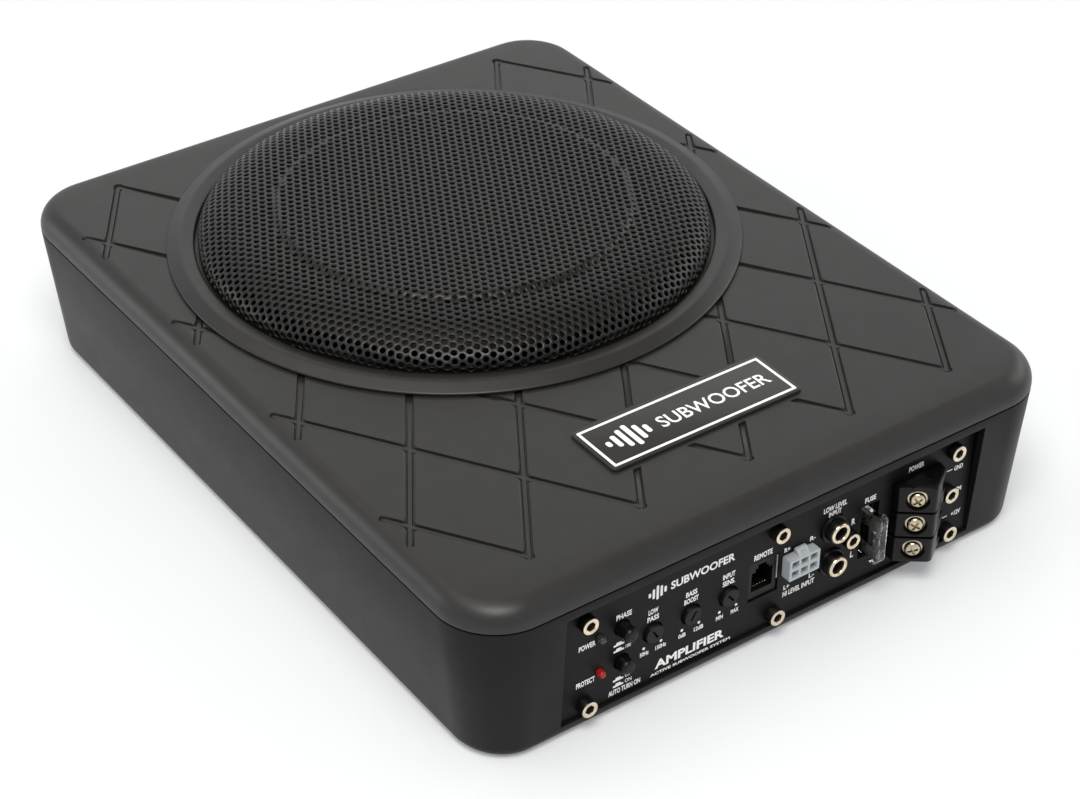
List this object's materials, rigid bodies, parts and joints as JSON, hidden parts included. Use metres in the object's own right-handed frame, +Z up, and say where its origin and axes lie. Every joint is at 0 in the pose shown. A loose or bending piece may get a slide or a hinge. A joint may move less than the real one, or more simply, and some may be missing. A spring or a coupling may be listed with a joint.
{
  "type": "powered car subwoofer",
  "caption": "Low-profile powered car subwoofer with a domed perforated grille, quilted top cover and front connection panel.",
  "frame": {"origin": "centre of the flat underside", "axes": "+X to the right along the control panel, -Y out of the control panel, +Z up"},
  "size_m": [0.27, 0.353, 0.0876],
  "materials": {
    "satin_black_metal": "satin powder coat",
    "charcoal_cover": "satin moulded",
    "black_metal": "matt black",
    "rubber": "matt",
    "pulp_cone": "coated paper pulp",
    "copper_winding": "enamelled copper",
    "woven_spider": "resin-dipped weave",
    "motor_steel": "zinc plated",
    "ferrite": "ground ceramic",
    "screw_steel": "plated steel",
    "dark_lamp": "clear tinted",
    "red_lamp": "clear tinted",
    "black_plastic": "moulded",
    "switch_metal": "stamped sheet",
    "grey_plastic": "moulded",
    "gold_contact": "gold plated",
    "white_plastic": "moulded",
    "fuse_plastic": "translucent",
    "circuit_board": "solder mask",
    "capacitor_sleeve": "shrink sleeve"
  },
  "bodies": {
    "housing": {"enclosure": "satin_black_metal", "control_panel": "satin_black_metal", "speaker_grille": "satin_black_metal", "top_cover": "charcoal_cover", "speaker_trim_ring": "charcoal_cover", "badge_plate": "charcoal_cover", "driver_basket": "black_metal", "driver_screw_1": "black_metal", "driver_screw_2": "black_metal", "driver_screw_3": "black_metal", "driver_screw_4": "black_metal", "output_stage": "black_metal", "cone_surround": "rubber", "power_transformer": "copper_winding", "spider_suspension": "woven_spider", "magnet_top_plate": "motor_steel", "pole_yoke": "motor_steel", "cover_screw_1": "motor_steel", "cover_screw_2": "motor_steel", "cover_screw_3": "motor_steel", "cover_screw_4": "motor_steel", "ring_magnet": "ferrite", "panel_screw_1": "screw_steel", "panel_screw_2": "screw_steel", "panel_screw_3": "screw_steel", "panel_screw_4": "screw_steel", "panel_screw_5": "screw_steel", "panel_screw_6": "screw_steel", "panel_screw_7": "screw_steel", "panel_screw_8": "screw_steel", "power_lamp": "dark_lamp", "protect_lamp": "red_lamp", "rca_housing": "black_plastic", "remote_socket": "black_plastic", "fuse_holder": "black_plastic", "power_terminal_block": "black_plastic", "phase_switch_body": "switch_metal", "auto_turn_on_switch_body": "switch_metal", "low_pass_potentiometer": "switch_metal", "bass_boost_potentiometer": "switch_metal", "input_level_potentiometer": "switch_metal", "rca_contact_right": "gold_contact", "rca_contact_left": "gold_contact", "speaker_level_header": "white_plastic", "control_board": "circuit_board", "amplifier_board": "circuit_board", "filter_capacitor_1": "capacitor_sleeve", "filter_capacitor_2": "capacitor_sleeve"},
    "cone": {"speaker_cone": "pulp_cone", "dust_cap": "pulp_cone", "voice_coil": "copper_winding"},
    "phase_button": {"phase_button": "black_plastic"},
    "auto_turn_on_button": {"auto_turn_on_button": "black_plastic"},
    "low_pass_knob": {"low_pass_knob": "grey_plastic"},
    "bass_boost_knob": {"bass_boost_knob": "grey_plastic"},
    "input_level_knob": {"input_level_knob": "grey_plastic"},
    "blade_fuse": {"blade_fuse": "fuse_plastic"},
    "ground_terminal_screw": {"ground_terminal_screw": "screw_steel"},
    "remote_terminal_screw": {"remote_terminal_screw": "screw_steel"},
    "battery_terminal_screw": {"battery_terminal_screw": "screw_steel"}
  },
  "joints": [
    {"name": "cone_travel", "type": "slide", "parent": "housing", "child": "cone", "axis": [0, 0, 1], "range_m": [-0.005, 0.005], "stiffness_N_per_m": 1800, "deforming": ["cone_surround", "spider_suspension"]},
    {"name": "phase_press", "type": "slide", "parent": "housing", "child": "phase_button", "axis": [0, 1, 0], "range_m": [0, 0.0025], "stiffness_N_per_m": 200, "springref_m": -0.002},
    {"name": "auto_turn_on_press", "type": "slide", "parent": "housing", "child": "auto_turn_on_button", "axis": [0, 1, 0], "range_m": [-0.0015, 0.001]},
    {"name": "low_pass_turn", "type": "hinge", "parent": "housing", "child": "low_pass_knob", "pos_m": [-0.0562, -0.1675, 0.0292], "axis": [0, -1, 0], "range_deg": [0, 292]},
    {"name": "bass_boost_turn", "type": "hinge", "parent": "housing", "child": "bass_boost_knob", "pos_m": [-0.0389, -0.1675, 0.0292], "axis": [0, -1, 0], "range_deg": [-292, 0]},
    {"name": "input_level_turn", "type": "hinge", "parent": "housing", "child": "input_level_knob", "pos_m": [-0.0216, -0.1675, 0.0292], "axis": [0, -1, 0], "range_deg": [0, 292]},
    {"name": "fuse_pull", "type": "slide", "parent": "housing", "child": "blade_fuse", "axis": [0, -1, 0], "range_m": [0, 0.012]},
    {"name": "battery_terminal_turn", "type": "hinge", "parent": "housing", "child": "battery_terminal_screw", "pos_m": [0.0618, -0.176, 0.01725], "axis": [-0.6196, -0.7849, 0], "range_deg": [0, 1080]},
    {"name": "remote_terminal_turn", "type": "hinge", "parent": "housing", "child": "remote_terminal_screw", "pos_m": [0.0618, -0.176, 0.02895], "axis": [-0.6196, -0.7849, 0], "range_deg": [0, 1080]},
    {"name": "ground_terminal_turn", "type": "hinge", "parent": "housing", "child": "ground_terminal_screw", "pos_m": [0.0618, -0.176, 0.04065], "axis": [-0.6196, -0.7849, 0], "range_deg": [0, 1080]}
  ]
}
